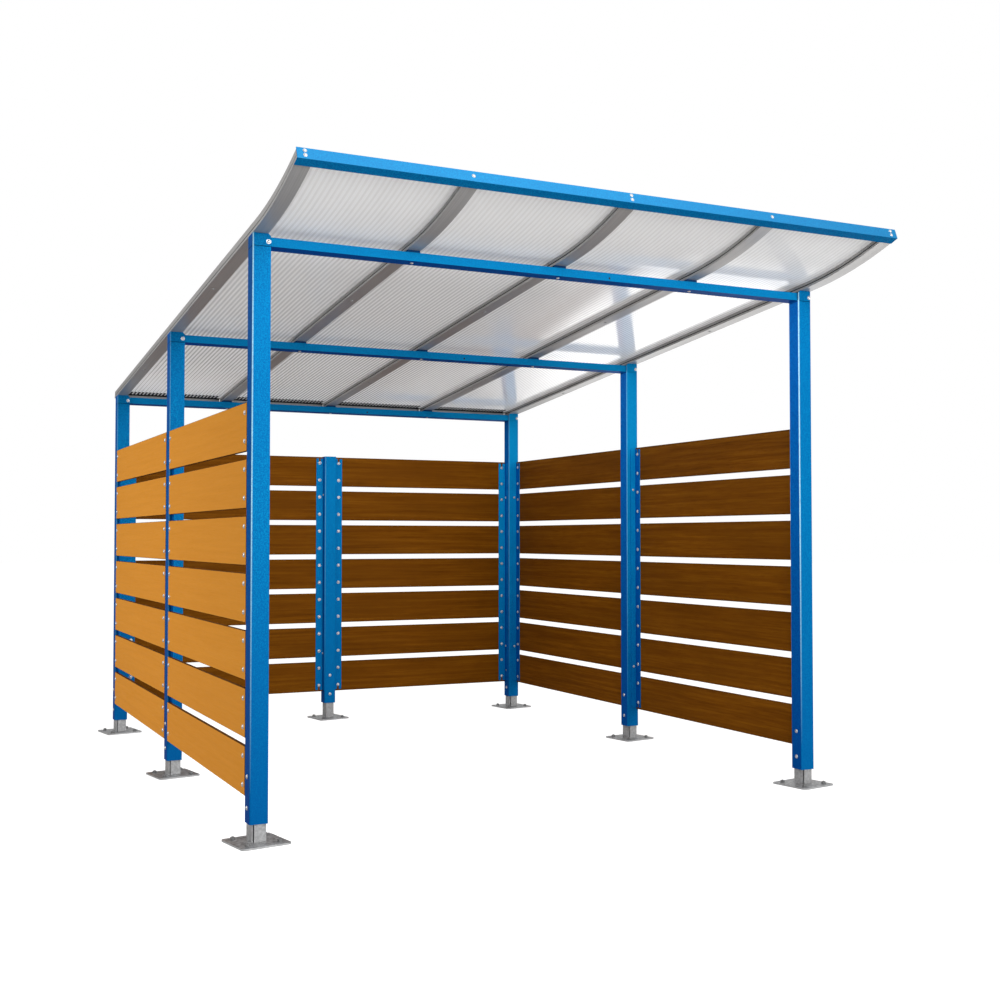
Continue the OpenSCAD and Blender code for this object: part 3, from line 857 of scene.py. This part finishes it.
def flute_xs(low, high):
    """Places across a sheet: a row of points in every flute, with the two edges."""
    middle = (low + high) / 2
    step = FLUTE_PITCH / FLUTE_POINTS
    half = int((high - low) / 2 / step - 0.5)
    return [low] + [middle + i * step for i in range(-half, half + 1)] + [high]


def skin_sheet(bm, rows):
    """Skins the rows of a sheet; each row is its line of lower points and its line of upper points."""
    steps = range(len(rows[0][0]) - 1)
    for a, b in zip(rows, rows[1:]):
        for side in (0, 1):
            for i in steps:
                bm.faces.new((a[side][i], a[side][i + 1], b[side][i + 1], b[side][i]))
        for i in (0, -1):
            bm.faces.new((a[0][i], a[1][i], b[1][i], b[0][i]))
    for row in (rows[0], rows[-1]):
        for i in steps:
            bm.faces.new((row[0][i], row[0][i + 1], row[1][i + 1], row[1][i]))


def fluted_sheet(number):
    """Roof sheet whose faces dip a little between the flutes."""
    cad = f"sheet_{number}"
    low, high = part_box(cad)
    middle = (low.x + high.x) / 2
    xs = flute_xs(low.x, high.x)
    dips = [FLUTE_DIP * (1 - math.cos(2 * math.pi * (x - middle) / FLUTE_PITCH)) / 2 for x in xs]
    back = roof_back - SHEET_BACK_GAP
    bm = bmesh.new()
    rows = []
    for s in curve_places(SHEET_FRONT_GAP) + [back / 2, back]:
        lower = roof_points(bm, [(x, s, RIB_TOP + dip) for x, dip in zip(xs, dips)])
        upper = roof_points(bm, [(x, s, RIB_TOP + SHEET_THICK - dip) for x, dip in zip(xs, dips)])
        rows.append((lower, upper))
    skin_sheet(bm, rows)
    piece = finish_piece(f"fluted_{cad}", bm, roof_sheet(f"fluted_plastic_{number}", middle))
    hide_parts(cad)


def comb_root(bm, start, stop, end):
    """Root of a toothed strip, bent round the closing strip, whose front edge under the sheet is at
    the distance end."""
    near, far = end - ROOT_GAP, end - ROOT_GAP - ROOT_THICK
    wall, inner = roof_back - STRIP_ROOM, roof_back - STRIP_ROOM - ROOT_THICK
    top, under = RIB_TOP - COMB_CLEAR, RIB_TOP - STRIP_ROOM
    web, hook = under - COMB_THICK, under - HOOK_DROP
    outline = [(far, top), (near, top), (near, under), (wall, under),
               (wall, hook), (inner, hook), (inner, web), (far, web)]
    close_rings(bm, [roof_points(bm, [(x, s, u) for s, u in outline]) for x in (start, stop)])


def comb_tooth(bm, x, base):
    """Flat tapered tooth under the flute at x, from the distance base forwards."""
    top = RIB_TOP - COMB_CLEAR
    tip_half, tip = TOOTH_HALF * TOOTH_TAPER, base - TOOTH_LENGTH
    outline = [(x - TOOTH_HALF, base), (x + TOOTH_HALF, base), (x + tip_half, tip), (x - tip_half, tip)]
    close_rings(bm, [roof_points(bm, [(px, s, u) for px, s in outline]) for u in (top - COMB_THICK, top)])


def flute_combs():
    """Black toothed strips under the back ends of the sheets, with a tooth in every flute that has
    room for one."""
    bm = bmesh.new()
    end = roof_back - SHEET_BACK_GAP - STRIP_UNDER
    base = end - ROOT_GAP - ROOT_THICK - ROOT_GAP
    for number in SHEETS:
        low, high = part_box(f"sheet_{number}")
        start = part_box(f"rib_{number}")[1].x + COMB_SIDE_GAP
        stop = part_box(f"rib_{number + 1}")[0].x - COMB_SIDE_GAP
        comb_root(bm, start, stop, end)
        middle = (low.x + high.x) / 2
        count = int((stop - start) / 2 / FLUTE_PITCH)
        for i in range(-count, count + 1):
            x = middle + i * FLUTE_PITCH
            if start <= x - TOOTH_HALF and x + TOOTH_HALF <= stop:
                comb_tooth(bm, x, base)
    finish_piece("flute_combs", bm, RUBBER)


def rib_seals():
    """Black rubber strips in the grooves along both sides of every rib."""
    places = curve_places(SEAL_END_GAP) + [roof_back - SEAL_END_GAP]
    bottom, top = RIB_LIP + SEAL_CLEAR, RIB_LIP + GROOVE_HIGH - SEAL_CLEAR
    middle = (bottom + top) / 2
    bm = bmesh.new()
    for number in RIBS:
        low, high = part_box(f"rib_{number}")
        for side, edge in ((-1, low.x), (1, high.x)):
            inner = edge - side * (GROOVE_DEEP - SEAL_FLOOR_GAP)
            outer = edge - side * SEAL_RECESS
            crown = outer + side * SEAL_CROWN
            outline = [(inner, bottom), (outer, bottom), (crown, middle), (outer, top), (inner, top)]
            close_rings(bm, [roof_points(bm, [(x, s, u) for x, u in outline]) for s in places])
    finish_piece("rib_seals", bm, RUBBER)


# ---------- build ----------

dress([name for name in nodes if name.split("_")[0] in ("post", "heads", "beam", "angles")], BLUE)
dress(["front_fascia"], BLUE)
dress([name for name in nodes if name.startswith("foot_")], ZINC)
dress([f"rib_{number}" for number in RIBS] + ["rib_covers", "rear_strips"], ALU)
dress(["rib_pads"], PAD_RUBBER)
dress(["boards_left_front", "boards_left_rear"], wood("boards_left_wall", 1, (-1, 0, 0)))
# the right wall's dark faces get painted light low down and painted shade high up
dress(["boards_right_front", "boards_right_rear"], wood("boards_right_wall", 1, (1, 0, 0), (1.20, 0.80)))
dress(["boards_back_left", "boards_back_right"], wood("boards_back_wall", 0, (0, 1, 0)))

for bay in BAYS:
    bolt_wall(bay)
bolt_angles()
bolt_feet()
anchor_feet()
bolt_heads()
bolt_beams()
screw_ribs()
bolt_fascia()
for number in SHEETS:
    fluted_sheet(number)
flute_combs()
rib_seals()


# ---------- studio ----------

def studio_rays(t, mirrored):
    """The level at which rays see the white studio: 1 from the camera and through glass, and mirrored in
    gloss."""
    path = t.add("ShaderNodeLightPath")
    direct = t.calc("MAXIMUM", path.outputs["Is Camera Ray"], path.outputs["Is Transmission Ray"])
    return t.calc("MAXIMUM", direct, t.times(path.outputs["Is Glossy Ray"], mirrored))


def floor_material():
    """Matt grey that takes a soft shadow, with a white of its own for the rays that see the studio. In
    gloss it shows a painted shadow of the shelter and painted light beside it: dim under the shelter and on
    its left, and bright on its right."""
    t = material_tree("studio_floor")
    t.nodes.remove(t.shader)
    matt = t.add("ShaderNodeBsdfDiffuse")
    t.feed(matt.inputs["Color"], (0.45, 0.45, 0.45, 1))
    x, y = t.axes(t.place())[:2]
    # painted shadow of the shelter and painted light to its right, seen only in gloss
    slanting = t.calc("MULTIPLY_ADD", y, -0.6, x)
    off_slant, off_right = (-0.7, 0.9), (1.6, 3.2)
    right = t.calc("MINIMUM", t.span(slanting, off_slant), t.span(x, off_right))
    white = t.add("ShaderNodeEmission")
    rays = studio_rays(t, mirrored=t.span(right, (0.0, 1.0), (0.12, 2.1)))
    t.feed(white.inputs["Strength"], t.times(rays, 0.85))
    t.show_sum(matt, white)
    return t.owner


def studio_floor():
    """Large pale round floor."""
    bm = bmesh.new()
    bmesh.ops.create_circle(bm, cap_ends=True, segments=96, radius=60)
    mesh = bpy.data.meshes.new("floor")
    bm.to_mesh(mesh)
    bm.free()
    mesh.materials.append(floor_material())
    floor = bpy.data.objects.new("floor", mesh)
    bpy.context.scene.collection.objects.link(floor)


def studio_world(strength):
    """White surroundings; strength is the level at which they light the object. In gloss they show dim,
    apart from the right and above."""
    world = bpy.data.worlds.new("studio")
    bpy.context.scene.world = world
    t = Tree(world)
    back = t.nodes["Background"]
    t.feed(back.inputs["Color"], (1, 1, 1, 1))
    toward = t.axes(t.add("ShaderNodeTexCoord").outputs["Generated"])
    right = t.span(toward[0], (0.40, 0.58), (0.12, 1.0))
    above = t.span(toward[2], (0.05, 0.35), (0.12, 1.0))
    level = studio_rays(t, mirrored=t.calc("MAXIMUM", right, above))
    lighting = t.times(t.add("ShaderNodeLightPath").outputs["Is Diffuse Ray"], strength)
    t.feed(back.inputs["Strength"], t.calc("MAXIMUM", level, lighting))


def soft_light(name, at, aim, size, power):
    """Large square area lamp at a place, aimed at another."""
    lamp = bpy.data.lights.new(name, "AREA")
    lamp.size = size
    lamp.energy = power
    holder = bpy.data.objects.new(name, lamp)
    holder.location = at
    holder.rotation_euler = (Vector(aim) - Vector(at)).to_track_quat("-Z", "Y").to_euler()
    bpy.context.scene.collection.objects.link(holder)
    return holder


def studio_lights():
    """Soft lamps: one far in front, one nearer and aimed at the roof's front, one at the left and one
    overhead."""
    soft_light("front_light", at=(2.4, -15.0, 3.5), aim=(0, 0, 1.6), size=4.0, power=740)
    soft_light("top_light", at=(-0.8, -4.8, 3.7), aim=(-0.6, -1.2, 2.0), size=1.6, power=90)
    soft_light("side_light", at=(-6.5, 1.2, 2.2), aim=(-1.4, 0.6, 1.3), size=2.0, power=90)
    soft_light("over_light", at=(0, 0, 7.0), aim=(0, 0, 2.0), size=4.0, power=60)


def roof_glow(y=-0.05, below=0.05, aim_below=1.0):
    """Faint wide lamp just under the roof that shines down, unseen by the camera and in gloss."""
    s = roof_s(y)
    at = (0, *roof_at(s, -below))
    aim = (0, *roof_at(s, -aim_below))
    glow = soft_light("roof_glow", at, aim, size=2.8, power=38)
    glow.data.shape = "RECTANGLE"
    glow.data.size_y = 3.8
    glow.visible_camera = False
    glow.visible_glossy = False


def camera():
    """Low three-quarter view from the front left."""
    lens = bpy.data.cameras.new("camera")
    lens.lens = 45.78
    lens.sensor_width = 36
    holder = bpy.data.objects.new("camera", lens)
    holder.location = (-2.8525, -6.6715, 1.267)
    holder.rotation_euler = [math.radians(angle) for angle in (91.723, 0, -25.929)]
    bpy.context.scene.collection.objects.link(holder)
    bpy.context.scene.camera = holder


studio_floor()
studio_world(0.48)
studio_lights()
roof_glow()
camera()
bpy.context.scene.view_settings.view_transform = "Standard"
